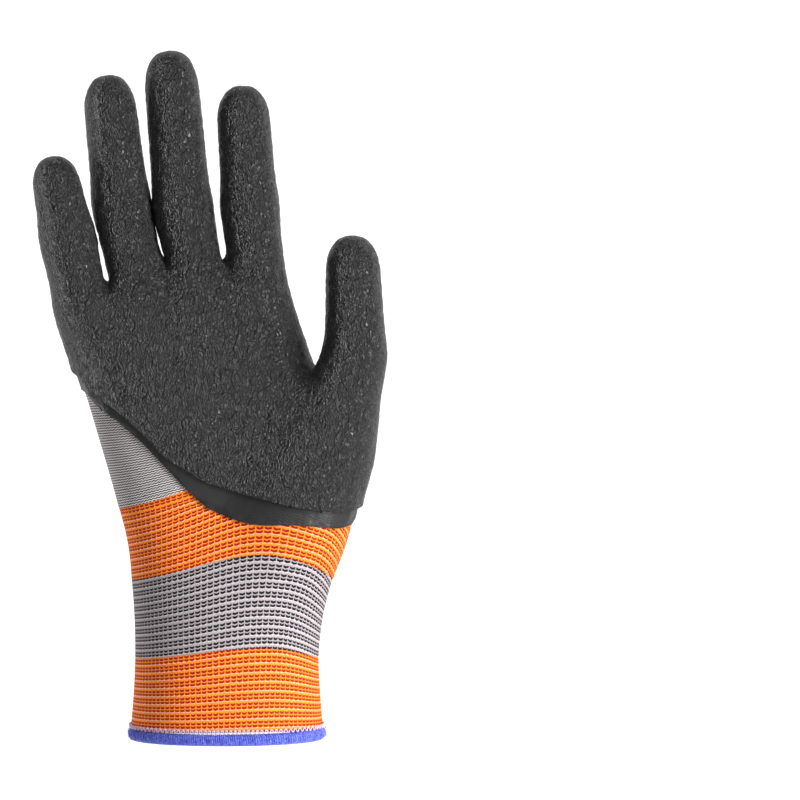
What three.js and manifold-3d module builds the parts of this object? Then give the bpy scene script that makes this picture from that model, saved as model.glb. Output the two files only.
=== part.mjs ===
import * as THREE from 'three';
import Module from 'manifold-3d';

// Knitted work glove for a right hand, dipped twice in latex and filled out as it is on a hand.
// Millimetres. +Z runs from the mouth of the cuff to the fingertips, the palm faces -Y and the
// thumb is on the +X side. The origin is the middle of the mouth, in the plane of the hem's edge.

// Cuff: an overlocked hem and three knitted bands, measured on the outside of the knit
const cuffWidth = 64.4;
const cuffDepth = 46;
const hemHeight = 4;
const hemThickness = 2.4;
const lowerBandHeight = 24.5;
const middleBandHeight = 27.2;
const upperBandHeight = 24.8;
const courseBow = 14; // how far the ball of the thumb lifts the top course in front

// Hand: the knit's outside, before the latex goes on
const palmLength = 80;
const palmWidth = 80.4;
const palmDepth = 30;
const webSlope = 0.4; // how much lower the webs lie on the back than on the palm
const fingerLength = 82;
const fingerWidth = 17;
const thumbLength = 90;
const thumbWidth = 18;

// Walls, from the inside out, with a small clearance between one piece and the next
const knitWall = 1.1;
const baseCoat = 0.5;
const gripCoat = 0.9;
const clearance = 0.2;
const bandGap = 0.3;

// Roundings where one form runs into the next
const knuckleRounding = 10;
const rootBlend = 7;
const fingerBlend = 0.4;
const thumbBlend = 14;
const thumbWebBlend = 3;
const jointBlend = 4;

// Bands of the cuff, from the hem up
const bands = [
  { name: 'cuff_band_lower', yarn: 'orange', height: lowerBandHeight },
  { name: 'cuff_band_middle', yarn: 'grey', height: middleBandHeight },
  { name: 'cuff_band_upper', yarn: 'orange', height: upperBandHeight },
];
const cuffLength = bands.reduce((sum, band) => sum + band.height, hemHeight);

// Sections of the cuff, from the mouth up: rise in shares of cuffLength, shift and width in
// shares of cuffWidth, depth in shares of cuffDepth. square is the exponent of the superellipse.
const cuffSections = [
  { rise: 0.0, shift: 0.0, lift: 0.0, width: 1.055, depth: 1.04, square: 2.1 },
  { rise: 0.13, shift: 0.0, lift: 0.0, width: 1.035, depth: 1.02, square: 2.1 },
  { rise: 0.26, shift: 0.0, lift: 0.0, width: 1.005, depth: 1.0, square: 2.1 },
  { rise: 0.41, shift: 0.0, lift: 0.0, width: 1.0, depth: 0.98, square: 2.1 },
  { rise: 0.56, shift: 0.01, lift: 0.0, width: 1.03, depth: 0.95, square: 2.1 },
  { rise: 0.7, shift: 0.02, lift: 0.0, width: 1.08, depth: 0.91, square: 2.1 },
  { rise: 0.84, shift: 0.035, lift: 0.01, width: 1.14, depth: 0.87, square: 2.2 },
];

// Sections of the palm, from the cuff to the knuckles: rise in shares of palmLength, shift and
// width in shares of palmWidth, lift and depth in shares of palmDepth
const palmSections = [
  { rise: 0.0, shift: 0.01, lift: 0.05, width: 0.965, depth: 1.24, square: 2.3 },
  { rise: 0.28, shift: -0.06, lift: 0.06, width: 0.99, depth: 1.1, square: 2.5 },
  { rise: 0.5, shift: -0.115, lift: 0.06, width: 1.01, depth: 1.02, square: 2.6 },
  { rise: 0.7, shift: -0.175, lift: 0.05, width: 1.02, depth: 0.95, square: 2.6 },
  { rise: 0.88, shift: -0.228, lift: 0.04, width: 0.99, depth: 0.85, square: 2.6 },
  { rise: 1.02, shift: -0.262, lift: 0.03, width: 0.98, depth: 0.76, square: 2.5 },
];

// Fingers, from the little finger to the index. rootX is in shares of palmWidth, rootY in
// shares of palmDepth and rootZ in shares of palmLength above the cuff. The rest is from the
// root, in shares of fingerLength: the middle joint and the centre of the tip, and radii in
// shares of fingerWidth.
const fingers = [
  {
    name: 'little', rootX: -0.626, rootY: -0.12, rootZ: 0.86, jointX: -0.063, jointY: 0.0,
    jointZ: 0.31, tipX: -0.108, tipY: -0.05, tipZ: 0.56, rootR: 0.48, jointR: 0.465, tipR: 0.39,
  },
  {
    name: 'ring', rootX: -0.374, rootY: -0.04, rootZ: 0.93, jointX: -0.086, jointY: 0.015,
    jointZ: 0.38, tipX: -0.13, tipY: -0.055, tipZ: 0.833, rootR: 0.49, jointR: 0.495, tipR: 0.44,
  },
  {
    name: 'middle', rootX: -0.126, rootY: 0.0, rootZ: 0.965, jointX: -0.07, jointY: 0.015,
    jointZ: 0.35, tipX: -0.112, tipY: -0.06, tipZ: 0.9, rootR: 0.495, jointR: 0.505, tipR: 0.462,
  },
  {
    name: 'index', rootX: 0.139, rootY: -0.02, rootZ: 0.94, jointX: -0.04, jointY: 0.01,
    jointZ: 0.37, tipX: -0.065, tipY: -0.055, tipZ: 0.775, rootR: 0.5, jointR: 0.49, tipR: 0.45,
  },
];

// Thumb, from the wrist to the tip: x and y in shares of palmWidth, rise above the wrist in
// shares of thumbLength, radius in shares of thumbWidth
const thumbJoints = [
  { name: 'wrist', x: 0.285, y: -0.03, rise: 0.0, radius: 1.0 },
  { name: 'ball', x: 0.43, y: -0.085, rise: 0.28, radius: 0.92 },
  { name: 'knuckle', x: 0.565, y: -0.12, rise: 0.63, radius: 0.515 },
  { name: 'tip', x: 0.55, y: -0.14, rise: 1.0, radius: 0.435 },
];
const thumbRoot = 0.95; // height of the thumb's wrist end, in shares of cuffLength

// Edge of each dip, from the little finger's side to the thumb's: across in shares of palmWidth,
// and the height above the cuff in shares of palmLength, on the palm and on the back
const baseEdge = [
  { across: -0.95, palm: 0.5, back: 0.55 },
  { across: -0.66, palm: 0.48, back: 0.57 },
  { across: -0.53, palm: 0.39, back: 0.64 },
  { across: -0.4, palm: 0.3, back: 0.69 },
  { across: -0.25, palm: 0.17, back: 0.71 },
  { across: -0.08, palm: 0.015, back: 0.7 },
  { across: 0.03, palm: -0.035, back: 0.65 },
  { across: 0.1, palm: -0.055, back: 0.56 },
  { across: 0.18, palm: -0.065, back: 0.41 },
  { across: 0.28, palm: -0.06, back: 0.29 },
  { across: 0.41, palm: -0.07, back: 0.15 },
  { across: 0.5, palm: -0.085, back: 0.03 },
  { across: 0.95, palm: -0.075, back: -0.06 },
];
const gripEdge = [
  { across: -0.95, palm: 0.56, back: 0.65 },
  { across: -0.66, palm: 0.54, back: 0.67 },
  { across: -0.53, palm: 0.44, back: 0.73 },
  { across: -0.4, palm: 0.35, back: 0.77 },
  { across: -0.25, palm: 0.22, back: 0.785 },
  { across: -0.08, palm: 0.12, back: 0.79 },
  { across: 0.03, palm: 0.085, back: 0.76 },
  { across: 0.1, palm: 0.065, back: 0.7 },
  { across: 0.18, palm: 0.045, back: 0.5 },
  { across: 0.28, palm: 0.02, back: 0.34 },
  { across: 0.41, palm: 0.0, back: 0.2 },
  { across: 0.5, palm: -0.01, back: 0.09 },
  { across: 0.95, palm: 0.0, back: 0.03 },
];

// Mesh density
const segmentsPerFinger = 3; // across a finger, on the palm and on the back alike
const fingerRings = 8;
const tipRings = 2;
const thumbRings = 8;
const palmRows = 6;
const rowsPerBand = 2;
const relaxRounds = 60;
const turnRounds = 24;

const mix = (a, b, t) => a + (b - a) * t;
const clamp = (v, low, high) => Math.min(Math.max(v, low), high);
const smoothStep = (t) => t * t * (3 - 2 * t);

// The smaller of two distances, rounded where they are alike
function smoothMin(a, b, rounding) {
  const near = Math.max(rounding - Math.abs(a - b), 0) / rounding;
  return Math.min(a, b) - (near * near * rounding) / 4;
}

// The value of one column of a table at a height, on a smooth curve through its rows
function columnAt(rows, key, z) {
  let i = 0;
  while (i < rows.length - 2 && z > rows[i + 1].z) i += 1;
  const slope = (j) => {
    const before = rows[Math.max(j - 1, 0)];
    const after = rows[Math.min(j + 1, rows.length - 1)];
    return (after[key] - before[key]) / (after.z - before.z);
  };
  const span = rows[i + 1].z - rows[i].z;
  const t = clamp((z - rows[i].z) / span, 0, 1);
  const hermite = smoothStep(t);
  return (
    mix(rows[i][key], rows[i + 1][key], hermite) +
    slope(i) * span * t * (1 - t) * (1 - t) -
    slope(i + 1) * span * t * t * (1 - t)
  );
}

const trunkRows = [
  ...cuffSections.map((row) => ({
    z: row.rise * cuffLength,
    x: row.shift * cuffWidth,
    y: row.lift * cuffDepth,
    halfWidth: (row.width * cuffWidth) / 2,
    halfDepth: (row.depth * cuffDepth) / 2,
    square: row.square,
  })),
  ...palmSections.map((row) => ({
    z: cuffLength + row.rise * palmLength,
    x: row.shift * palmWidth,
    y: row.lift * palmDepth,
    halfWidth: (row.width * palmWidth) / 2,
    halfDepth: (row.depth * palmDepth) / 2,
    square: row.square,
  })),
];

function trunkAt(z) {
  const section = {};
  for (const key of ['x', 'y', 'halfWidth', 'halfDepth', 'square']) {
    section[key] = columnAt(trunkRows, key, z);
  }
  return section;
}

// Each finger as three balls on a bent line
const fingerBones = fingers.map((finger) => {
  const height = cuffLength + finger.rootZ * palmLength;
  const root = new THREE.Vector3(
    finger.rootX * palmWidth,
    trunkAt(height).y + finger.rootY * palmDepth,
    height,
  );
  const offset = (x, y, z) => new THREE.Vector3(x, y, z).multiplyScalar(fingerLength).add(root);
  return [
    { centre: root, radius: finger.rootR * fingerWidth },
    { centre: offset(finger.jointX, finger.jointY, finger.jointZ), radius: finger.jointR * fingerWidth },
    { centre: offset(finger.tipX, finger.tipY, finger.tipZ), radius: finger.tipR * fingerWidth },
  ];
});

const thumbBones = thumbJoints.map((joint) => ({
  centre: new THREE.Vector3(
    joint.x * palmWidth,
    joint.y * palmWidth,
    thumbRoot * cuffLength + joint.rise * thumbLength,
  ),
  radius: joint.radius * thumbWidth,
}));

// Distance to a chain of tapered limbs
function limbDistance(point, bones) {
  let nearest = Infinity;
  for (let i = 0; i < bones.length - 1; i += 1) {
    const line = new THREE.Line3(bones[i].centre, bones[i + 1].centre);
    const t = line.closestPointToPointParameter(point, true);
    const radius = mix(bones[i].radius, bones[i + 1].radius, t);
    const distance = line.at(t, new THREE.Vector3()).distanceTo(point) - radius;
    nearest = i === 0 ? distance : smoothMin(nearest, distance, jointBlend);
  }
  return nearest;
}

// The knuckle line: the height at which the palm ends, over the roots of the fingers
const knuckleRows = fingerBones.map((bones) => ({ z: bones[0].centre.x, top: bones[0].centre.z }));

function trunkDistance(point) {
  const section = trunkAt(point.z);
  const u = Math.abs(point.x - section.x) / section.halfWidth;
  const v = Math.abs(point.y - section.y) / section.halfDepth;
  const n = section.square;
  const q = Math.max((u ** n + v ** n) ** (1 / n), 1e-6);
  const slope = Math.hypot((u / q) ** (n - 1) / section.halfWidth, (v / q) ** (n - 1) / section.halfDepth);
  const side = (q - 1) / slope;
  const end = point.z + webSlope * (point.y - section.y) - columnAt(knuckleRows, 'top', point.x);
  return -smoothMin(-side, -end, knuckleRounding);
}

// Signed distance to the outside of the knit
function handDistance(point) {
  let fingersOnly = Infinity;
  for (const bones of fingerBones) {
    const distance = limbDistance(point, bones);
    fingersOnly = fingersOnly === Infinity ? distance : smoothMin(fingersOnly, distance, fingerBlend);
  }
  const withoutThumb = smoothMin(trunkDistance(point), fingersOnly, rootBlend);
  const [, ball, knuckle] = thumbBones;
  const up = clamp((point.z - ball.centre.z) / (knuckle.centre.z - ball.centre.z), 0, 1);
  return smoothMin(withoutThumb, limbDistance(point, thumbBones), mix(thumbBlend, thumbWebBlend, up));
}

function slopeAt(point) {
  const step = 0.05;
  const slope = new THREE.Vector3();
  for (const axis of ['x', 'y', 'z']) {
    const ahead = point.clone();
    const behind = point.clone();
    ahead[axis] += step;
    behind[axis] -= step;
    slope[axis] = (handDistance(ahead) - handDistance(behind)) / (2 * step);
  }
  return slope;
}

// Moves a point to where the distance has the given level; a level point keeps its height
function settle(point, level, keepsHeight, rounds = 6) {
  const at = point.clone();
  for (let i = 0; i < rounds; i += 1) {
    const slope = slopeAt(at);
    if (keepsHeight) slope.z = 0;
    at.addScaledVector(slope, (level - handDistance(at)) / Math.max(slope.lengthSq(), 0.05));
  }
  return at;
}

// The cage: one net of points over cuff, palm, fingers and thumb. A row of the trunk runs
// along the palm from the little finger's side to the thumb's, and along the back again.
const acrossPalm = fingers.length * segmentsPerFinger;
const frontColumn = (i) => i;
const thumbSide = [acrossPalm + 1, acrossPalm + 2];
const backColumn = (i) => 2 * acrossPalm + 3 - i;
const littleSide = [2 * acrossPalm + 5, 2 * acrossPalm + 4];
const columns = 2 * acrossPalm + 6;

const points = [];
const keepsHeight = [];
const faces = [];
const addPoint = (point, fixed = false) => {
  keepsHeight.push(fixed);
  return points.push(point) - 1;
};

// Where a column lies across a section, from -1 to 1, and on which side of its middle
function columnPlace(column) {
  const angle = ((column + 0.5) / columns) * 2 * Math.PI + Math.PI + Math.PI / columns;
  const even = (i) => mix(-0.96, 0.96, i / acrossPalm);
  const place = { round: angle, flat: 0, side: Math.sign(Math.sin(angle)) };
  if (column <= acrossPalm) place.flat = even(column);
  else if (thumbSide.includes(column)) place.flat = 0.995;
  else if (littleSide.includes(column)) place.flat = -0.995;
  else place.flat = even(backColumn(0) - column);
  return place;
}

// A point on the trunk's section. spread goes from 0, even round the section, to 1, even across.
function trunkPoint(column, z, spread) {
  const section = trunkAt(z);
  const place = columnPlace(column);
  const across = mix(Math.cos(place.round), place.flat, spread);
  const depth = (1 - Math.abs(across) ** section.square) ** (1 / section.square);
  return new THREE.Vector3(
    section.x + section.halfWidth * across,
    section.y + place.side * section.halfDepth * depth,
    z,
  );
}

// The courses rise over the ball of the thumb, on the palm's side
function bowAt(point, rise) {
  const section = trunkAt(point.z);
  const front = clamp((section.y - point.y) / section.halfDepth, 0, 1);
  const off = (point.x - section.x - 0.2 * cuffWidth) / (0.5 * cuffWidth);
  return courseBow * rise * smoothStep(front) * Math.exp(-off * off);
}

function cuffRow(height) {
  const rise = height / cuffLength;
  return Array.from({ length: columns }, (_, column) => {
    const start = trunkPoint(column, height, 0);
    start.z += bowAt(start, rise);
    return addPoint(settle(start, 0, true), true);
  });
}

const addFace = (piece, ...corners) => faces.push({ piece, corners });

function joinRings(lower, upper, piece) {
  lower.forEach((_, k) => {
    const next = (k + 1) % lower.length;
    addFace(piece, lower[k], lower[next], upper[next], upper[k]);
  });
}

// Cuff rows, band by band, with the small gap between bands as faces of no piece
let lastRow = null;
let bandFoot = hemHeight;
for (const { name, height } of bands) {
  for (let r = 0; r <= rowsPerBand; r += 1) {
    const row = cuffRow(bandFoot + mix(bandGap / 2, height - bandGap / 2, r / rowsPerBand));
    if (lastRow) joinRings(lastRow, row, r === 0 ? 'gap' : name);
    lastRow = row;
  }
  bandFoot += height;
}
const handFoot = cuffRow(cuffLength + bandGap / 2);
joinRings(lastRow, handFoot, 'gap');

// Palm rows, up to the crotches. The thumb grows out of a window in them.
const rootHeight = (across) => {
  const x = across * trunkRows.at(-1).halfWidth + trunkRows.at(-1).x;
  return columnAt(knuckleRows, 'top', x);
};
const thumbWindow = { firstColumn: frontColumn(acrossPalm - 2), lowRow: 1, highRow: 3, wide: 4 };
const palm = [handFoot];
for (let r = 1; r <= palmRows; r += 1) {
  const rise = r / palmRows;
  palm.push(
    Array.from({ length: columns }, (_, column) => {
      const top = rootHeight(columnPlace(column).flat);
      const z = mix(points[handFoot[column]].z, top, rise);
      return addPoint(trunkPoint(column, z, smoothStep(rise)));
    }),
  );
}
const inWindow = (row, column) =>
  row >= thumbWindow.lowRow &&
  row < thumbWindow.highRow &&
  column >= thumbWindow.firstColumn &&
  column < thumbWindow.firstColumn + thumbWindow.wide;
for (let r = 0; r < palmRows; r += 1) {
  for (let c = 0; c < columns; c += 1) {
    const next = (c + 1) % columns;
    if (!inWindow(r, c)) {
      addFace('knit_hand', palm[r][c], palm[r][next], palm[r + 1][next], palm[r + 1][c]);
    }
  }
}

// Rings round a limb, from its foot loop to a pole at the tip. angleOf gives each corner's
// angle round the limb, from the thumb's side towards the back.
function addLimb(foot, bones, angles, rings, leading) {
  const path = new THREE.CurvePath();
  for (let i = 0; i < bones.length - 1; i += 1) {
    path.add(new THREE.LineCurve3(bones[i].centre, bones[i + 1].centre));
  }
  const radiusAt = (t) => {
    const along = t * path.getLength();
    const lengths = path.getCurveLengths();
    const i = lengths.findIndex((length) => along <= length + 1e-6);
    const before = i === 0 ? 0 : lengths[i - 1];
    return mix(bones[i].radius, bones[i + 1].radius, (along - before) / (lengths[i] - before));
  };
  const ringAt = (centre, axis, radius) => {
    const right = new THREE.Vector3(1, 0, 0).addScaledVector(axis, -axis.x).normalize();
    const back = new THREE.Vector3().crossVectors(axis, right);
    return angles.map((angle) =>
      centre
        .clone()
        .addScaledVector(right, radius * Math.cos(angle))
        .addScaledVector(back, radius * Math.sin(angle)),
    );
  };
  const footPoints = foot.map((index) => points[index]);
  let below = foot;
  const grow = (ring) => {
    const added = ring.map((point) => addPoint(point));
    joinRings(below, added, 'knit_hand');
    below = added;
  };
  for (let r = 1; r <= rings; r += 1) {
    const t = r / rings;
    const ring = ringAt(path.getPoint(t), path.getTangent(t), radiusAt(t));
    const settled = clamp(r / leading, 0, 1);
    grow(ring.map((point, k) => footPoints[k].clone().lerp(point, settled)));
  }
  const last = bones.at(-1);
  const axis = path.getTangent(1);
  for (let r = 1; r <= tipRings; r += 1) {
    const swing = (r / (tipRings + 1)) * (Math.PI / 2);
    const centre = last.centre.clone().addScaledVector(axis, last.radius * Math.sin(swing));
    grow(ringAt(centre, axis, last.radius * Math.cos(swing)));
  }
  const pole = addPoint(last.centre.clone().addScaledVector(axis, last.radius));
  below.forEach((index, k) => addFace('knit_hand', index, below[(k + 1) % below.length], pole));
}

// Webs between fingers: two points from the palm's edge of each crotch to the back's
const top = palm[palmRows];
const webs = fingers.slice(1).map((_, i) => {
  const column = (i + 1) * segmentsPerFinger;
  const front = points[top[frontColumn(column)]];
  const back = points[top[backColumn(column)]];
  return [1 / 3, 2 / 3].map((t) => {
    const point = front.clone().lerp(back, t);
    point.z += fingerWidth / 6;
    return addPoint(point);
  });
});
const littleEdge = littleSide.map((column) => top[column]);
const thumbEdge = thumbSide.map((column) => top[column]);
const turn = (2 * Math.PI) / (2 * segmentsPerFinger + 6);
fingerBones.forEach((bones, i) => {
  const first = i * segmentsPerFinger;
  const across = Array.from({ length: segmentsPerFinger + 1 }, (_, k) => first + k);
  const right = i === fingers.length - 1 ? thumbEdge : webs[i];
  const left = i === 0 ? littleEdge : webs[i - 1];
  const foot = [
    ...across.map((k) => top[frontColumn(k)]),
    right[0],
    right[1],
    ...across.reverse().map((k) => top[backColumn(k)]),
    left[1],
    left[0],
  ];
  const start = 1.5 * Math.PI - (segmentsPerFinger / 2) * turn;
  const angles = foot.map((_, k) => start + k * turn);
  addLimb(foot, bones, angles, fingerRings, 2);
});

// The thumb starts from the rim of its window, below, behind, above and in front
const { firstColumn, lowRow, highRow, wide } = thumbWindow;
const rimColumns = Array.from({ length: wide + 1 }, (_, k) => firstColumn + k);
const between = Array.from({ length: highRow - lowRow - 1 }, (_, k) => lowRow + 1 + k);
const thumbFoot = [
  ...rimColumns.map((c) => palm[lowRow][c]),
  ...between.map((r) => palm[r][firstColumn + wide]),
  ...rimColumns.toReversed().map((c) => palm[highRow][c]),
  ...between.toReversed().map((r) => palm[r][firstColumn]),
];
const thumbTurn = (2 * Math.PI) / thumbFoot.length;
const thumbAngles = thumbFoot.map((_, k) => (k - wide / 2) * thumbTurn);
addLimb(thumbFoot, thumbBones.slice(1), thumbAngles, thumbRings, 4);

// Pulls the net even and onto the knit's outside, in turns
function relax() {
  const near = points.map(() => new Set());
  for (const { corners } of faces) {
    corners.forEach((corner, k) => {
      const next = corners[(k + 1) % corners.length];
      near[corner].add(next);
      near[next].add(corner);
    });
  }
  for (let round = 0; round < relaxRounds; round += 1) {
    const before = points.map((point) => point.clone());
    points.forEach((point, i) => {
      if (keepsHeight[i] || !near[i].size) return;
      const mean = new THREE.Vector3();
      for (const j of near[i]) mean.addScaledVector(before[j], 1 / near[i].size);
      point.lerp(mean, 0.5);
      point.copy(settle(point, 0, false, 2));
    });
  }
}
relax();

// The faces in triangles, always split at their first corner, so that layers stay parallel
const trianglesOf = ({ corners }) =>
  corners.slice(2).map((corner, k) => [corners[0], corners[k + 1], corner]);

// The way out at each point, turned until it faces away from every triangle that meets there
const outward = points.map(() => new THREE.Vector3());
const facing = points.map(() => []);
for (const [a, b, c] of faces.flatMap(trianglesOf)) {
  const triangle = new THREE.Triangle(points[a], points[b], points[c]);
  const normal = triangle.getNormal(new THREE.Vector3());
  for (const corner of [a, b, c]) facing[corner].push(normal);
}
outward.forEach((way, i) => {
  if (!facing[i].length) return;
  for (const normal of facing[i]) way.add(normal);
  way.normalize();
  for (let round = 0; round < turnRounds; round += 1) {
    const least = facing[i].reduce((low, normal) => (normal.dot(way) < low.dot(way) ? normal : low));
    way.addScaledVector(least, 1 / (round + 3)).normalize();
  }
  if (keepsHeight[i]) way.setZ(0).normalize();
});

// The same net at another distance from the knit's outside
function layerAt(level) {
  return points.map((point, i) => point.clone().addScaledVector(outward[i], level));
}

function toGeometry(vertices, triangles) {
  const geometry = new THREE.BufferGeometry();
  geometry.setAttribute('position', new THREE.Float32BufferAttribute(vertices.flatMap((v) => v.toArray()), 3));
  geometry.setIndex(triangles.flat());
  return geometry;
}

// A closed wall between two levels, over the chosen faces, with a rim round their border
function wallGeometry(chosen, innerLevel, outerLevel) {
  const layers = new Map([innerLevel, outerLevel].map((level) => [level, layerAt(level)]));
  const used = new Map();
  const vertices = [];
  const place = (index, level) => {
    const key = `${index} ${level}`;
    if (!used.has(key)) used.set(key, vertices.push(layers.get(level)[index]) - 1);
    return used.get(key);
  };
  const triangles = [];
  const edges = new Set();
  for (const { corners } of chosen) {
    corners.forEach((corner, k) => edges.add(`${corner} ${corners[(k + 1) % corners.length]}`));
  }
  for (const [a, b, c] of chosen.flatMap(trianglesOf)) {
    triangles.push([place(a, outerLevel), place(b, outerLevel), place(c, outerLevel)]);
    triangles.push([place(c, innerLevel), place(b, innerLevel), place(a, innerLevel)]);
  }
  for (const edge of edges) {
    const [a, b] = edge.split(' ').map(Number);
    if (edges.has(`${b} ${a}`)) continue;
    triangles.push([place(b, outerLevel), place(a, outerLevel), place(a, innerLevel)]);
    triangles.push([place(b, outerLevel), place(a, innerLevel), place(b, innerLevel)]);
  }
  return toGeometry(vertices, triangles);
}

// The hem: a rounded roll of thread over the first course, thicker than the knit
function hemGeometry() {
  const profileSides = 8;
  const half = (hemHeight - bandGap / 2) / 2;
  const profile = Array.from({ length: profileSides }, (_, k) => {
    const angle = ((k + 0.5) / profileSides) * 2 * Math.PI;
    const stretch = 1 / Math.cos(Math.PI / profileSides);
    return {
      level: (stretch * Math.cos(angle) * hemThickness) / 2 - knitWall / 2,
      z: half + stretch * Math.sin(angle) * half,
    };
  });
  const vertices = profile.flatMap(({ level, z }) =>
    Array.from({ length: columns }, (_, column) => {
      const start = trunkPoint(column, half, 0);
      const at = settle(start, level, true);
      at.z = z;
      return at;
    }),
  );
  const triangles = [];
  for (let k = 0; k < profileSides; k += 1) {
    for (let c = 0; c < columns; c += 1) {
      const nextK = ((k + 1) % profileSides) * columns;
      const nextC = (c + 1) % columns;
      const [a, b, d, e] = [k * columns + c, k * columns + nextC, nextK + nextC, nextK + c];
      triangles.push([a, b, d], [a, d, e]);
    }
  }
  return toGeometry(vertices, triangles);
}

// All space above the edge of a dip: a block whose underside follows the edge across the
// glove, and passes from the palm's line to the back's through the thickness of the hand
function aboveEdge(edge) {
  const deep = cuffDepth;
  const ceiling = cuffLength + palmLength + 2 * fingerLength;
  const steps = [-1, -0.35, -0.17, 0, 0.17, 0.35, 1];
  const floorAt = (row, step) => {
    const back = smoothStep(clamp((step + 0.35) / 0.7, 0, 1));
    return cuffLength + mix(row.palm, row.back, back) * palmLength;
  };
  const vertices = [];
  for (const row of edge) {
    for (const step of steps) {
      const y = step * deep;
      vertices.push(new THREE.Vector3(row.across * palmWidth, y, floorAt(row, step)));
      vertices.push(new THREE.Vector3(row.across * palmWidth, y, ceiling));
    }
  }
  const at = (i, j, up) => 2 * (i * steps.length + j) + up;
  const triangles = [];
  const addQuad = (a, b, c, d) => triangles.push([a, b, c], [a, c, d]);
  const [lastI, lastJ] = [edge.length - 1, steps.length - 1];
  for (let i = 0; i < lastI; i += 1) {
    for (let j = 0; j < lastJ; j += 1) {
      addQuad(at(i, j, 0), at(i, j + 1, 0), at(i + 1, j + 1, 0), at(i + 1, j, 0));
      addQuad(at(i, j, 1), at(i + 1, j, 1), at(i + 1, j + 1, 1), at(i, j + 1, 1));
    }
    addQuad(at(i, 0, 0), at(i + 1, 0, 0), at(i + 1, 0, 1), at(i, 0, 1));
    addQuad(at(i + 1, lastJ, 0), at(i, lastJ, 0), at(i, lastJ, 1), at(i + 1, lastJ, 1));
  }
  for (let j = 0; j < lastJ; j += 1) {
    addQuad(at(0, j + 1, 0), at(0, j, 0), at(0, j, 1), at(0, j + 1, 1));
    addQuad(at(lastI, j, 0), at(lastI, j + 1, 0), at(lastI, j + 1, 1), at(lastI, j, 1));
  }
  return toGeometry(vertices, triangles);
}

const wasm = await Module();
wasm.setup();

function toSolid(geometry) {
  const mesh = new wasm.Mesh({
    numProp: 3,
    vertProperties: new Float32Array(geometry.getAttribute('position').array),
    triVerts: new Uint32Array(geometry.index.array),
  });
  return new wasm.Manifold(mesh);
}

function fromSolid(solid) {
  const mesh = solid.getMesh();
  const geometry = new THREE.BufferGeometry();
  geometry.setAttribute('position', new THREE.BufferAttribute(mesh.vertProperties, 3));
  geometry.setIndex(new THREE.BufferAttribute(mesh.triVerts, 1));
  return geometry;
}

// A dip of latex over the hand and the top of the cuff, ending at its edge
function coatGeometry(innerLevel, thickness, edge) {
  const covered = new Set(['knit_hand', 'gap', bands.at(-1).name]);
  const low = cuffLength - bands.at(-1).height;
  const chosen = faces.filter(
    ({ piece, corners }) => covered.has(piece) && corners.every((corner) => points[corner].z > low),
  );
  const wall = toSolid(wallGeometry(chosen, innerLevel, innerLevel + thickness));
  return fromSolid(wall.intersect(toSolid(aboveEdge(edge))));
}

const glove = new THREE.Group();
function addPiece(name, geometry, material) {
  const mesh = new THREE.Mesh(geometry, new THREE.MeshStandardMaterial({ metalness: 0, ...material }));
  mesh.name = name;
  glove.add(mesh);
}

const yarns = {
  grey: { color: 0xb0a9ae, roughness: 0.85 },
  orange: { color: 0xff7a1f, roughness: 0.8 },
  blue: { color: 0x3f55d6, roughness: 0.85 },
};
const latex = {
  smooth: { color: 0x26272a, roughness: 0.35 },
  crinkled: { color: 0x303134, roughness: 0.55 },
};

addPiece('cuff_hem', hemGeometry(), yarns.blue);
for (const { name, yarn } of bands) {
  const own = faces.filter((face) => face.piece === name);
  addPiece(name, wallGeometry(own, -knitWall, 0), yarns[yarn]);
}
const handFaces = faces.filter((face) => face.piece === 'knit_hand');
addPiece('knit_hand', wallGeometry(handFaces, -knitWall, 0), yarns.grey);
addPiece('latex_base_coat', coatGeometry(clearance, baseCoat, baseEdge), latex.smooth);
const gripFoot = 2 * clearance + baseCoat;
addPiece('latex_grip_coat', coatGeometry(gripFoot, gripCoat, gripEdge), latex.crinkled);

export default glove;
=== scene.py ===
import math
import random

import bmesh
import bpy
import numpy as np
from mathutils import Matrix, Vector
from mathutils.bvhtree import BVHTree


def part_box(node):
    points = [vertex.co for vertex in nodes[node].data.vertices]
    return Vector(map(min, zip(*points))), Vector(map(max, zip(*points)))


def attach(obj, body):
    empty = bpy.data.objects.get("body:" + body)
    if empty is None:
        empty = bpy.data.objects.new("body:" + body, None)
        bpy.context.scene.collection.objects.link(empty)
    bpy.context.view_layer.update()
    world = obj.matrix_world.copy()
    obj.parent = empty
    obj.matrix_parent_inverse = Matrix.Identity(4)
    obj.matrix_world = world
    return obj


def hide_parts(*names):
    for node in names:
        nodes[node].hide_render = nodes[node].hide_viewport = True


# A knitted work glove, right hand, dipped twice in black latex and filled out as when worn.
# Metres, +Z to the fingertips, palm towards -Y, thumb on +X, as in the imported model.

mm = 0.001
outside = 90 * mm  # rays at the cuff start this far from its axis
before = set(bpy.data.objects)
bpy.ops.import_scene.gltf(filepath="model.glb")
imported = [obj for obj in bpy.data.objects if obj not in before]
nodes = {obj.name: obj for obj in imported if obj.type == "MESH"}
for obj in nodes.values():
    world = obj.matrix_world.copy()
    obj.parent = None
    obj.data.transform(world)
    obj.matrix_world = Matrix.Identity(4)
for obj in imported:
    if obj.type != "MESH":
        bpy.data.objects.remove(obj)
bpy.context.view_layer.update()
print("loaded", sorted(nodes))


# ---- helpers

def linear(hexColour):
    # sRGB hex to the linear values that the shaders want
    parts = [int(hexColour[i:i + 2], 16) / 255 for i in (1, 3, 5)]
    return [c / 12.92 if c <= 0.04045 else ((c + 0.055) / 1.055) ** 2.4 for c in parts] + [1.0]


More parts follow.
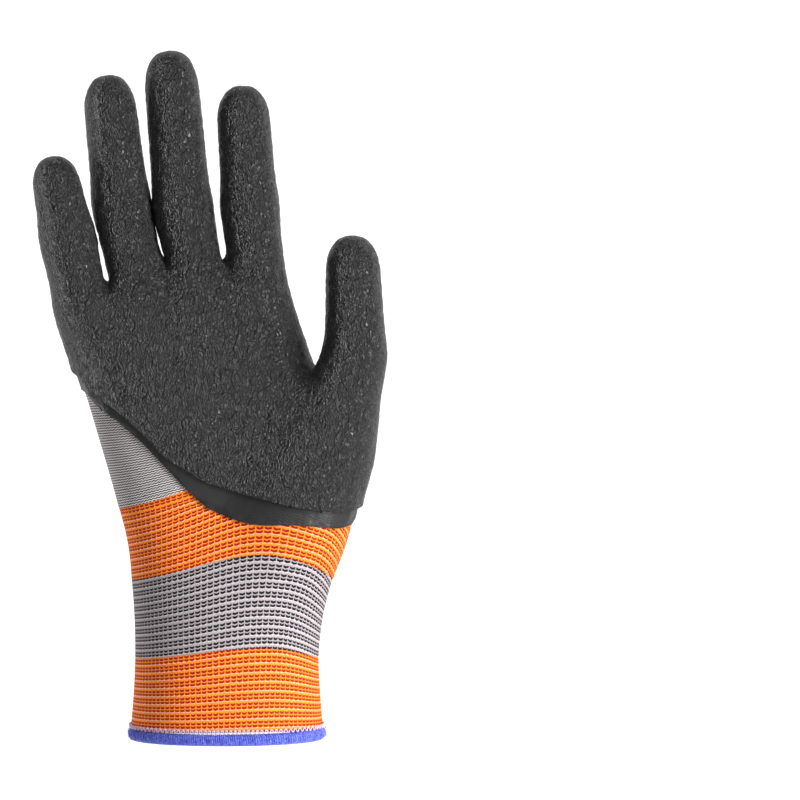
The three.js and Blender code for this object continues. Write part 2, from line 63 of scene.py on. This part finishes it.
def addNode(tree, kind, settings=None, **links):
    # one node: attributes and socket values by name, then what feeds its sockets
    node = tree.nodes.new(kind)
    for name, value in (settings or {}).items():
        if isinstance(name, int) or name in node.inputs:
            node.inputs[name].default_value = value
        else:
            setattr(node, name, value)
    for name, source in links.items():
        socket = node.inputs[int(name[2:])] if name.startswith("in") else node.inputs[name.replace("_", " ")]
        tree.links.new(source, socket)
    return node


def newMaterial(name, roughness, specular=0.5):
    material = bpy.data.materials.new(name)
    material.use_nodes = True
    tree = material.node_tree
    shader = tree.nodes["Principled BSDF"]
    shader.inputs["Roughness"].default_value = roughness
    shader.inputs["Specular IOR Level"].default_value = specular
    return material, tree, shader


def pickOnly(piece):
    bpy.ops.object.select_all(action="DESELECT")
    piece.select_set(True)
    bpy.context.view_layer.objects.active = piece


def applyModifier(piece, kind, **settings):
    pickOnly(piece)
    modifier = piece.modifiers.new(kind.lower(), kind)
    for name, value in settings.items():
        setattr(modifier, name, value)
    bpy.ops.object.modifier_apply(modifier=modifier.name)


def smoothDivide(piece, levels):
    applyModifier(piece, "SUBSURF", levels=levels, render_levels=levels)


def toQuads(piece):
    pickOnly(piece)
    bpy.ops.object.mode_set(mode="EDIT")
    bpy.ops.mesh.select_all(action="SELECT")
    bpy.ops.mesh.tris_convert_to_quads(face_threshold=math.radians(50), shape_threshold=math.radians(70))
    bpy.ops.object.mode_set(mode="OBJECT")


def copyNode(nodeName, pieceName, carriers=()):
    # the CAD solid's mesh as a piece of its own, merged and back in four-sided faces;
    # of a layer that lies on carriers only the outer skin is kept
    mesh = nodes[nodeName].data.copy()
    mesh.materials.clear()
    piece = bpy.data.objects.new(pieceName, mesh)
    bpy.context.scene.collection.objects.link(piece)
    pickOnly(piece)
    bpy.ops.object.mode_set(mode="EDIT")
    bpy.ops.mesh.select_all(action="SELECT")
    bpy.ops.mesh.remove_doubles(threshold=0.02 * mm)
    bpy.ops.object.mode_set(mode="OBJECT")
    if carriers:
        keepOuterSkin(piece, *carriers)
    toQuads(piece)
    return piece


def searchTree(*meshes):
    # one search tree over the faces of several meshes
    corners, faces = [], []
    for mesh in meshes:
        start = len(corners)
        corners += [v.co.copy() for v in mesh.vertices]
        faces += [[start + i for i in p.vertices] for p in mesh.polygons]
    return BVHTree.FromPolygons(corners, faces)


def keepOuterSkin(piece, *carriers):
    # keeps the faces that look away from what carries the layer
    tree = searchTree(*[nodes[name].data for name in carriers])
    shell = bmesh.new()
    shell.from_mesh(piece.data)
    shell.normal_update()
    inner = []
    for f in shell.faces:
        middle = f.calc_center_median()
        way = (tree.find_nearest(middle)[0] - middle).normalized()
        if way.dot(f.normal) > -0.3:
            inner.append(f)
    bmesh.ops.delete(shell, geom=inner, context="FACES")
    shell.to_mesh(piece.data)
    shell.free()


def easeRim(piece, rounds):
    # evens out the open edge of a dip, which ran off smoothly while wet
    skin = bmesh.new()
    skin.from_mesh(piece.data)
    beside = {}
    for e in skin.edges:
        if e.is_boundary:
            for v in e.verts:
                beside.setdefault(v, []).append(e.other_vert(v))
    for _ in range(rounds):
        moved = {v: v.co * 0.5 + (pair[0].co + pair[1].co) * 0.25 for v, pair in beside.items() if len(pair) == 2}
        for v, co in moved.items():
            v.co = co
    skin.to_mesh(piece.data)
    skin.free()


def turnRimIn(piece, depth):
    # a rolled lip along the open edge: one row of faces that goes down to the layer below
    skin = bmesh.new()
    skin.from_mesh(piece.data)
    skin.normal_update()
    rim = [e for e in skin.edges if e.is_boundary]
    ways = {v: v.normal.copy() for e in rim for v in e.verts}
    grown = bmesh.ops.extrude_edge_only(skin, edges=rim)
    fresh = [g for g in grown["geom"] if isinstance(g, bmesh.types.BMVert)]
    for v in fresh:
        for e in v.link_edges:
            source = e.other_vert(v)
            if source in ways:
                v.co = source.co - ways[source] * depth
    bmesh.ops.recalc_face_normals(skin, faces=skin.faces)
    skin.to_mesh(piece.data)
    skin.free()


def keepProud(piece, carrier, gap):
    # no point of a layer sinks nearer than the gap to the layer it lies on
    tree = searchTree(carrier.data)
    for v in piece.data.vertices:
        spot, way, index, distance = tree.find_nearest(v.co)
        height = (v.co - spot).dot(way)
        if distance < 4 * mm and height < gap:
            v.co += way * (gap - height)


def moveEnds(piece, isEnd, hold, shiftOf):
    # holds the end faces of a tube sharp and moves them up or down
    shell = bmesh.new()
    shell.from_mesh(piece.data)
    shell.normal_update()
    crease = (shell.edges.layers.float.get("crease_edge")
              or shell.edges.layers.float.new("crease_edge"))
    for f in shell.faces:
        if isEnd(f):
            for v in f.verts:
                v.tag = True
            for e in f.edges:
                e[crease] = hold
    for v in shell.verts:
        if v.tag:
            v.co.z += shiftOf(v)
    shell.to_mesh(piece.data)
    shell.free()


def finishPiece(piece, material, slotName, *replaced):
    piece.data.materials.clear()
    piece.data.materials.append(material)
    pickOnly(piece)
    bpy.ops.object.shade_smooth()
    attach(piece, "root")
    if replaced:
        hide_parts(*replaced)
    print("made", piece.name, len(piece.data.polygons), "faces")


# ---- camera: level, at the height of the photo's middle row, one metre away
camera = {
    "distance": 1.0,
    "metresPerPixel": 0.35 * mm,
    "frameWidth": 800,
    "middleColumn": 227,  # the photo column of the glove's own axis
    "mouthRow": 738.5,  # the photo row of the cuff's mouth
}
bpy.ops.object.camera_add()
view = bpy.context.object
view.name = "photoCamera"
view.data.sensor_width = 36
view.data.lens = 36 * camera["distance"] / (camera["frameWidth"] * camera["metresPerPixel"])
view.location = (
    (camera["frameWidth"] / 2 - camera["middleColumn"]) * camera["metresPerPixel"],
    -camera["distance"],
    (camera["mouthRow"] - camera["frameWidth"] / 2) * camera["metresPerPixel"],
)
view.rotation_euler = (math.radians(90), 0, 0)
bpy.context.scene.camera = view

# ---- the knit's own grid: courses go round the glove, wales run along it
knit = {
    "wales": 136,  # needles of a 13 gauge machine at this size
    "cuffWales": 96,
    "course": 0.87 * mm,
    "courseBow": 14 * mm,
    "cuffTop": 80.5 * mm,
    "cuffWidth": 64.4 * mm,
    "handLean": -20 * mm,
    "handLength": 80 * mm,
    "elasticEvery": 3,  # courses from one laid-in elastic to the next
}


def handAxis(z):
    # middle of the glove's section at a height, and half its width and depth
    up = min(max((z - knit["cuffTop"]) / knit["handLength"], 0), 1)
    down = min(max(z / knit["cuffTop"], 0), 1)
    middle = Vector((knit["handLean"] * up + 1.0 * mm * down, 1.0 * mm * down, z))
    return middle, (33 + 6 * down) * mm, (22 - 4 * down - 5 * up) * mm


def bowAt(point):
    # the ball of the thumb lifts the courses in front
    middle, halfWidth, halfDepth = handAxis(point.z)
    front = min(max((middle.y - point.y) / halfDepth, 0), 1)
    off = (point.x - middle.x - 0.2 * knit["cuffWidth"]) / (0.5 * knit["cuffWidth"])
    fade = min(max((knit["cuffTop"] * 1.6 - point.z) / (knit["cuffTop"] * 0.6), 0), 1)
    rise = min(point.z / knit["cuffTop"], 1) * fade
    return knit["courseBow"] * rise * front * front * (3 - 2 * front) * math.exp(-off * off)


# share of the way round an oval 1.7 times as wide as deep, against the angle parameter
ovalTurns = np.linspace(-math.pi, math.pi, 721)
ovalShare = np.cumsum(np.hypot(1.7 * np.cos(ovalTurns), np.sin(ovalTurns)))
ovalShare = (ovalShare - ovalShare[0]) / (ovalShare[-1] - ovalShare[0])


def knitPlace(point):
    # a point's place in stitches: wales round from the palm's middle, courses up
    middle, halfWidth, halfDepth = handAxis(point.z)
    turn = math.atan2((point.x - middle.x) / halfWidth, (point.y - middle.y) / halfDepth)
    return float(np.interp(turn, ovalTurns, ovalShare)) * knit["wales"], (point.z - bowAt(point)) / knit["course"]


def mapKnit(piece):
    layer = piece.data.uv_layers.new(name="knitGrid")
    places = [knitPlace(v.co) for v in piece.data.vertices]
    for polygon in piece.data.polygons:
        across = [places[i][0] for i in polygon.vertices]
        wrapped = max(across) - min(across) > knit["wales"] / 2
        for loop, i in zip(polygon.loop_indices, polygon.vertices):
            u, v = places[i]
            layer.data[loop].uv = (u + knit["wales"] if wrapped and u < knit["wales"] / 2 else u, v)


def movedGrid(tree):
    # the stitch grid with each stitch a little out of its place
    grid = addNode(tree, "ShaderNodeUVMap", {"uv_map": "knitGrid"})
    wobble = addNode(tree, "ShaderNodeTexNoise", {"Scale": 0.8, "Detail": 2.0}, Vector=grid.outputs[0])
    moved = addNode(tree, "ShaderNodeVectorMath", {"operation": "MULTIPLY_ADD", 1: (0.4, 0.35, 0)},
                    in0=wobble.outputs["Color"], in2=grid.outputs[0])
    return addNode(tree, "ShaderNodeSeparateXYZ", {}, in0=moved.outputs[0])


def handStitches(tree):
    # jersey face of the hand: each course a zigzag, half yarn and half gap
    axes = movedGrid(tree)
    leg = addNode(tree, "ShaderNodeMath", {"operation": "PINGPONG", 1: 0.5}, in0=axes.outputs[0])
    rise = addNode(tree, "ShaderNodeMath", {"operation": "MULTIPLY_ADD", 1: 1.0}, in0=leg.outputs[0],
                   in2=axes.outputs[1])
    row = addNode(tree, "ShaderNodeMath", {"operation": "PINGPONG", 1: 0.5}, in0=rise.outputs[0])
    return addNode(tree, "ShaderNodeMapRange",
                   {"interpolation_type": "SMOOTHSTEP", "From Min": 0.17, "From Max": 0.31}, in0=row.outputs[0])


def cuffStitches(tree):
    # the cuff is knitted on two needles in three: a grid of openings, two to each elastic
    axes = movedGrid(tree)
    wide = addNode(tree, "ShaderNodeMath", {"operation": "MULTIPLY", 1: knit["cuffWales"] / knit["wales"]},
                   in0=axes.outputs[0])
    leg = addNode(tree, "ShaderNodeMath", {"operation": "PINGPONG", 1: 0.5}, in0=wide.outputs[0])
    rise = addNode(tree, "ShaderNodeMath", {"operation": "MULTIPLY_ADD", 1: 0.8}, in0=leg.outputs[0],
                   in2=axes.outputs[1])
    third = addNode(tree, "ShaderNodeMath", {"operation": "FLOORED_MODULO", 1: float(knit["elasticEvery"])},
                    in0=rise.outputs[0])
    off = addNode(tree, "ShaderNodeMath", {"operation": "SUBTRACT", 1: 1.6}, in0=third.outputs[0])
    away = addNode(tree, "ShaderNodeMath", {"operation": "ABSOLUTE"}, in0=off.outputs[0])
    pair = addNode(tree, "ShaderNodeMath", {"operation": "SUBTRACT", 1: 0.6}, in0=away.outputs[0])
    near = addNode(tree, "ShaderNodeMath", {"operation": "ABSOLUTE"}, in0=pair.outputs[0])
    rows = addNode(tree, "ShaderNodeMapRange",
                   {"interpolation_type": "SMOOTHSTEP", "From Min": 0.26, "From Max": 0.48,
                    "To Min": 1.0, "To Max": 0.0}, in0=near.outputs[0])
    columns = addNode(tree, "ShaderNodeMapRange",
                      {"interpolation_type": "SMOOTHSTEP", "From Min": 0.03, "From Max": 0.15}, in0=leg.outputs[0])
    gap = addNode(tree, "ShaderNodeMath", {"operation": "MULTIPLY"},
                  in0=rows.outputs[0], in1=columns.outputs[0])
    return addNode(tree, "ShaderNodeMath", {"operation": "SUBTRACT", 0: 1.0}, in1=gap.outputs[0])


def knitMaterial(name, stitches, shadedGapColour, yarnColour, highlightColour):
    # nylon knit: matt, with no shine; pale rounded yarn over dark openings, the colour painted from the stitch
    # height: a painted highlight on each yarn crown, painted shade towards its edges and in the openings
    material, tree, shader = newMaterial(name, 0.8, 0.25)
    height = stitches(tree)
    # ramp from painted shade in the openings through the yarn to a painted highlight on the yarn crowns
    ramp = addNode(tree, "ShaderNodeValToRGB", {}, in0=height.outputs[0])
    ramp.color_ramp.elements[0].color = linear(shadedGapColour)
    ramp.color_ramp.elements[1].color = linear(highlightColour)
    middle = ramp.color_ramp.elements.new(0.6)
    middle.color = linear(yarnColour)
    tree.links.new(ramp.outputs[0], shader.inputs["Base Color"])
    bump = addNode(tree, "ShaderNodeBump", {"Strength": 1.0, "Distance": 0.3 * mm}, Height=height.outputs[0])
    tree.links.new(bump.outputs[0], shader.inputs["Normal"])
    return material


# colours: painted shade in the openings, the yarn, then a painted highlight on the yarn crowns
orangeKnit = knitMaterial("nylonKnitOrange", cuffStitches, "#A81400", "#FF6A08", "#FF8F2C")
greyKnit = knitMaterial("nylonKnitGrey", cuffStitches, "#120F12", "#7E767B", "#ACA4A9")
handKnit = knitMaterial("nylonJerseyGrey", handStitches, "#171414", "#A0989A", "#DCD5D5")

# ---- cuff bands
bands = {
    "cuff_band_lower": ("lowerBand", orangeKnit, "orange_yarn"),
    "cuff_band_middle": ("middleBand", greyKnit, "grey_yarn"),
    "cuff_band_upper": ("upperBand", orangeKnit, "orange_yarn"),
}
closeGap = 0.14 * mm  # each band is knitted on to the next, so their edges meet
tubeEnds = {"faces": 0.75, "bandHold": 0.6, "handHold": 0.8, "handBelow": 110 * mm}
for nodeName, (pieceName, material, slotName) in bands.items():
    band = copyNode(nodeName, pieceName)
    low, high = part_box(nodeName)
    middleHeight = (low.z + high.z) / 2
    moveEnds(band, lambda f: abs(f.normal.z) > tubeEnds["faces"], tubeEnds["bandHold"],
             lambda v: closeGap if v.co.z > middleHeight else -closeGap)
    smoothDivide(band, 3)
    mapKnit(band)
    finishPiece(band, material, slotName, nodeName)

# ---- the knitted hand
hand = copyNode("knit_hand", "knittedHand")
moveEnds(hand, lambda f: f.normal.z < -tubeEnds["faces"] and f.calc_center_median().z < tubeEnds["handBelow"],
         tubeEnds["handHold"], lambda v: -2 * closeGap)
smoothDivide(hand, 2)
mapKnit(hand)
finishPiece(hand, handKnit, "grey_yarn", "knit_hand")


# ---- elastics: a thin pale covered elastic laid into every third course of the cuff
def ringAt(tree, course, steps):
    # points round the cuff on one course, found from its axis outwards
    ring = []
    for i in range(steps):
        turn = 2 * math.pi * i / steps
        way = Vector((math.sin(turn), math.cos(turn), 0))
        z = course
        for _ in range(4):
            middle = handAxis(z)[0]
            hit = tree.ray_cast(middle + way * outside, -way)
            if hit[0] is None:
                return []
            z = course + bowAt(hit[0])
        middle = handAxis(z)[0]
        hit = tree.ray_cast(middle + way * outside, -way)
        ring.append(hit[0])
    return ring


def tubeFrom(name, rings, radius, sides, cyclic=True):
    curve = bpy.data.curves.new(name, "CURVE")
    curve.dimensions = "3D"
    curve.bevel_depth = radius
    curve.bevel_resolution = sides
    curve.resolution_u = 1
    for ring in rings:
        spline = curve.splines.new("POLY")
        spline.points.add(len(ring) - 1)
        for point, co in zip(spline.points, ring):
            point.co = (*co, 1)
        spline.use_cyclic_u = cyclic
    thread = bpy.data.objects.new(name, curve)
    bpy.context.scene.collection.objects.link(thread)
    pickOnly(thread)
    bpy.ops.object.convert(target="MESH")
    return bpy.context.object


elastic = {"radius": 0.085 * mm, "steps": 360, "weave": 0.14 * mm, "firstRow": 2}
cuffTree = searchTree(*[bpy.data.objects[name].data for name, material, slotName in bands.values()])
rings = []
pitch = knit["elasticEvery"] * knit["course"]
for row in range(elastic["firstRow"], int(knit["cuffTop"] / pitch)):
    ring = ringAt(cuffTree, row * pitch, elastic["steps"])
    for i, point in enumerate(ring):
        out = Vector((point.x, point.y, 0)).normalized()
        ring[i] = point + out * elastic["weave"] * math.sin(math.pi * i / 2)
    if ring:
        rings.append(ring)
white, tree, shader = newMaterial("coveredElasticWhite", 0.6)
shader.inputs["Base Color"].default_value = linear("#F6DDD2")
elastics = tubeFrom("laidInElastics", rings, elastic["radius"], 1)
finishPiece(elastics, white, "grey_yarn")

# ---- hem: blue overlock thread wrapped round the first course
hemSizes = {"turns": 104, "points": 12, "thread": 0.3 * mm, "out": 1.3 * mm, "up": 1.85 * mm,
            "height": 2.1 * mm, "readAt": 5 * mm, "inset": 0.55 * mm,
            "needleThread": 0.25 * mm, "needleHeight": 4.9 * mm, "needleSwing": 0.5 * mm, "needleOut": 1.05 * mm,
            "fuzz": 900, "fuzzLength": 1.3 * mm, "fuzzThick": 0.035 * mm}
hemRoll = copyNode("cuff_hem", "hemRoll")
smoothDivide(hemRoll, 2)
# polyester thread: a fuzzy blue with lighter fibres
blue, tree, shader = newMaterial("texturedPolyesterBlue", 0.8, 0.3)
place = addNode(tree, "ShaderNodeTexCoord")
fluff = addNode(tree, "ShaderNodeTexNoise", {"Scale": 1500.0, "Detail": 3.0}, Vector=place.outputs["Object"])
tint = addNode(tree, "ShaderNodeValToRGB", {}, in0=fluff.outputs[0])
tint.color_ramp.elements[0].position, tint.color_ramp.elements[1].position = 0.35, 0.7
tint.color_ramp.elements[0].color, tint.color_ramp.elements[1].color = linear("#2E3CB4"), linear("#7F8DF2")
tree.links.new(tint.outputs[0], shader.inputs["Base Color"])
bump = addNode(tree, "ShaderNodeBump", {"Strength": 0.6, "Distance": 0.2 * mm}, Height=fluff.outputs[0])
tree.links.new(bump.outputs[0], shader.inputs["Normal"])
shader.inputs["Sheen Weight"].default_value = 0.4
finishPiece(hemRoll, blue, "hem_yarn", "cuff_hem")

hemTree = searchTree(nodes["cuff_band_lower"].data)
spine = []
for i in range(hemSizes["turns"] * hemSizes["points"]):
    turn = 2 * math.pi * i / (hemSizes["turns"] * hemSizes["points"])
    way = Vector((math.sin(turn), math.cos(turn), 0))
    hit = hemTree.ray_cast(way * outside + Vector((0, 0, hemSizes["readAt"])), -way)
    spine.append((hit[0] - way * hemSizes["inset"], way))
wraps = []
for lean in (0, 0.5):
    wrap = []
    for i, (co, way) in enumerate(spine):
        phase = 2 * math.pi * (i / hemSizes["points"] + lean)
        z = hemSizes["height"] + hemSizes["up"] * math.sin(phase)
        wrap.append(Vector((co.x, co.y, z)) + way * hemSizes["out"] * math.cos(phase))
    wraps.append(wrap)
overlock = tubeFrom("overlockThread", wraps, hemSizes["thread"], 0)
finishPiece(overlock, blue, "hem_yarn")

lilac, tree, shader = newMaterial("needleThreadLilac", 0.7, 0.3)
shader.inputs["Base Color"].default_value = linear("#CFC3E6")
needle = []
for i, (co, way) in enumerate(spine[::3]):
    z = hemSizes["needleHeight"] + hemSizes["needleSwing"] * (1 if i % 4 in (0, 1) else -1)
    needle.append(Vector((co.x, co.y, z)) + way * hemSizes["needleOut"])
needleRow = tubeFrom("needleThreadRow", [needle], hemSizes["needleThread"], 0)
finishPiece(needleRow, lilac, "hem_yarn")

random.seed(7)
fibres = []
for i in range(hemSizes["fuzz"]):
    co, way = random.choice(spine)
    side = Vector((way.y, -way.x, 0))
    start = Vector((co.x, co.y, random.uniform(0.5, 4.0) * mm)) + way * 1.3 * mm
    lean = (way * random.uniform(0.2, 1.0) + side * random.uniform(-1, 1)
            + Vector((0, 0, random.uniform(-0.9, 0.9))))
    bend = side * random.uniform(-0.4, 0.4) + Vector((0, 0, random.uniform(-0.4, 0.4)))
    length = hemSizes["fuzzLength"] * random.uniform(0.4, 1.0)
    fibres.append([start, start + lean * length * 0.5, start + (lean + bend) * length])
hemFuzz = tubeFrom("hemFuzz", fibres, hemSizes["fuzzThick"], 0, cyclic=False)
finishPiece(hemFuzz, blue, "hem_yarn")

# ---- latex coats
coats = {"baseDepth": 0.5 * mm, "gripDepth": 0.85 * mm, "swell": 0.15 * mm,
         "baseProud": 0.45 * mm, "gripProud": 0.4 * mm, "easeRounds": 24,
         "crinkle": 0.7 * mm, "crinklePitch": 2.2 * mm}
base = copyNode("latex_base_coat", "smoothDip", ["knit_hand", "cuff_band_upper"])
smoothDivide(base, 2)
easeRim(base, coats["easeRounds"])
for carrier in (hand, bpy.data.objects["upperBand"]):
    keepProud(base, carrier, coats["baseProud"])
turnRimIn(base, coats["baseDepth"])
mapKnit(base)
# smooth latex: a soft shine that shows the knit faintly under it
smoothLatex, tree, shader = newMaterial("naturalLatexSmooth", 0.4, 0.4)
shader.inputs["Base Color"].default_value = linear("#262626")
height = handStitches(tree)
place = addNode(tree, "ShaderNodeTexCoord")
pimple = addNode(tree, "ShaderNodeTexNoise", {"Scale": 420.0, "Detail": 3.0}, Vector=place.outputs["Object"])
both = addNode(tree, "ShaderNodeMath", {"operation": "MULTIPLY_ADD", 1: 2.2}, in0=pimple.outputs[0],
               in2=height.outputs[0])
bump = addNode(tree, "ShaderNodeBump", {"Strength": 0.5, "Distance": 0.3 * mm}, Height=both.outputs[0])
tree.links.new(bump.outputs[0], shader.inputs["Normal"])
finishPiece(base, smoothLatex, "smooth_latex", "latex_base_coat")

grip = copyNode("latex_grip_coat", "crinkledDip", ["latex_base_coat"])
smoothDivide(grip, 3)
applyModifier(grip, "DISPLACE", strength=coats["swell"], mid_level=0.0)
crinkle = bpy.data.textures.new("latexCrinkle", "CLOUDS")
crinkle.noise_scale = coats["crinklePitch"]
crinkle.noise_depth = 2
crinkle.noise_basis = "ORIGINAL_PERLIN"
applyModifier(grip, "DISPLACE", texture=crinkle, texture_coords="LOCAL",
              strength=coats["crinkle"], mid_level=0.5)
easeRim(grip, coats["easeRounds"])
keepProud(grip, base, coats["gripProud"])
turnRimIn(grip, coats["gripDepth"])
# crinkled latex: near black, with a small glint on each fold from its shine; the colour is also painted lighter on
# the raised folds and pebbles and darker in the valleys between them, a painted highlight and painted shade
crinkledLatex, tree, shader = newMaterial("naturalLatexCrinkled", 0.4, 0.5)
place = addNode(tree, "ShaderNodeTexCoord")
spot = place.outputs["Object"]
side = addNode(tree, "ShaderNodeSeparateXYZ", {}, in0=spot)
isBack = addNode(tree, "ShaderNodeMapRange",
                 {"interpolation_type": "SMOOTHSTEP", "From Min": -4 * mm, "From Max": 4 * mm},
                 in0=side.outputs[1])
drift = addNode(tree, "ShaderNodeTexNoise", {"Scale": 260.0, "Detail": 2.0}, Vector=spot)
pushed = addNode(tree, "ShaderNodeVectorMath", {"operation": "MULTIPLY_ADD", 1: (3 * mm, 3 * mm, 3 * mm)},
                 in0=drift.outputs["Color"], in2=spot)
stretched = addNode(tree, "ShaderNodeMapping", {"Rotation": (0, math.radians(35), 0), "Scale": (1.0, 1.0, 0.5)},
                    Vector=pushed.outputs[0])
# long wrinkles on the palm, small pebbles on the back
wrinkle = addNode(tree, "ShaderNodeTexNoise", {"Scale": 900.0, "Detail": 2.5, "Roughness": 0.55},
                  Vector=stretched.outputs[0])
fold = addNode(tree, "ShaderNodeMath", {"operation": "MULTIPLY_ADD", 1: 2.0, 2: -1.0}, in0=wrinkle.outputs[0])
valley = addNode(tree, "ShaderNodeMath", {"operation": "ABSOLUTE"}, in0=fold.outputs[0])
palmHeight = addNode(tree, "ShaderNodeMapRange", {"From Min": 0.0, "From Max": 0.35}, in0=valley.outputs[0])
pebble = addNode(tree, "ShaderNodeTexVoronoi", {"feature": "SMOOTH_F1", "Scale": 1150.0, "Smoothness": 0.4},
                 Vector=pushed.outputs[0])
backHeight = addNode(tree, "ShaderNodeMapRange", {"From Min": 0.1, "From Max": 0.75, "To Min": 1.0, "To Max": 0.0},
                     in0=pebble.outputs[0])
height = addNode(tree, "ShaderNodeMix", {"data_type": "FLOAT"}, in0=isBack.outputs[0], in2=palmHeight.outputs[0],
                 in3=backHeight.outputs[0])
longNoise = addNode(tree, "ShaderNodeTexNoise", {"Scale": 190.0, "Detail": 1.5}, Vector=stretched.outputs[0])
away = addNode(tree, "ShaderNodeMath", {"operation": "SUBTRACT", 1: 0.5}, in0=longNoise.outputs[0])
line = addNode(tree, "ShaderNodeMath", {"operation": "ABSOLUTE"}, in0=away.outputs[0])
crease = addNode(tree, "ShaderNodeMapRange",
                 {"interpolation_type": "SMOOTHSTEP", "From Min": 0.0, "From Max": 0.035},
                 in0=line.outputs[0])
relief = addNode(tree, "ShaderNodeMath", {"operation": "MULTIPLY_ADD", 1: 0.8}, in0=crease.outputs[0],
                 in2=height.outputs[0])
bump = addNode(tree, "ShaderNodeBump", {"Strength": 1.0, "Distance": 0.6 * mm}, Height=relief.outputs[0])
tree.links.new(bump.outputs[0], shader.inputs["Normal"])
# colour follows the relief: painted highlight on the raised folds and pebbles, painted shade in the valleys
tint = addNode(tree, "ShaderNodeValToRGB", {}, in0=height.outputs[0])
tint.color_ramp.elements[0].color, tint.color_ramp.elements[1].color = linear("#0F0F0F"), linear("#383838")
tree.links.new(tint.outputs[0], shader.inputs["Base Color"])
finishPiece(grip, crinkledLatex, "grip_latex", "latex_grip_coat")

# ---- studio: pale floor with an upright back wall that glows evenly, two side lights and a weak front fill
studio = {"floor": -0.3, "half": 1.6, "wall": 1.2, "height": 2.2}


def paperSheet(name, corners, glow):
    mesh = bpy.data.meshes.new(name)
    mesh.from_pydata([Vector(c) for c in corners], [], [[0, 1, 2, 3]])
    sheet = bpy.data.objects.new(name, mesh)
    bpy.context.scene.collection.objects.link(sheet)
    paper, tree, shader = newMaterial(name + "Paper", 0.9, 0.1)
    shader.inputs["Base Color"].default_value = linear("#A8A8A8" if glow else "#E6E6E6")
    shader.inputs["Emission Color"].default_value = linear("#FFFFFF")
    shader.inputs["Emission Strength"].default_value = glow
    mesh.materials.append(paper)


half, wall, low, high = studio["half"], studio["wall"], studio["floor"], studio["height"]
front = wall - 2 * half
paperSheet("paperFloor", [(-half, front, low), (half, front, low), (half, wall, low), (-half, wall, low)], 0.0)
paperSheet("paperWall", [(-half, wall, low), (half, wall, low), (half, wall, high), (-half, wall, high)], 0.9)

lights = [
    ("rightKey", (0.64, -0.46, 0.28), (0.22, 0.8), 13.0),
    ("leftRim", (-0.8, 0.3, 0.1), (0.25, 0.9), 4.0),
    ("frontFill", (-0.1, -1.5, 0.6), (0.8, 0.8), 2.2),
]
for name, spot, size, power in lights:
    bpy.ops.object.light_add(type="AREA", location=spot)
    lamp = bpy.context.object
    lamp.name = name
    lamp.data.shape = "RECTANGLE"
    lamp.data.size, lamp.data.size_y = size
    lamp.data.energy = power
    lamp.rotation_euler = (Vector((0, 0, 0.12)) - Vector(spot)).to_track_quat("-Z", "Y").to_euler()
world = bpy.data.worlds.new("studioAir")
bpy.context.scene.world = world
world.use_nodes = True
world.node_tree.nodes["Background"].inputs[0].default_value = (1, 1, 1, 1)
world.node_tree.nodes["Background"].inputs[1].default_value = 0.22
bpy.context.scene.view_settings.view_transform = "Standard"
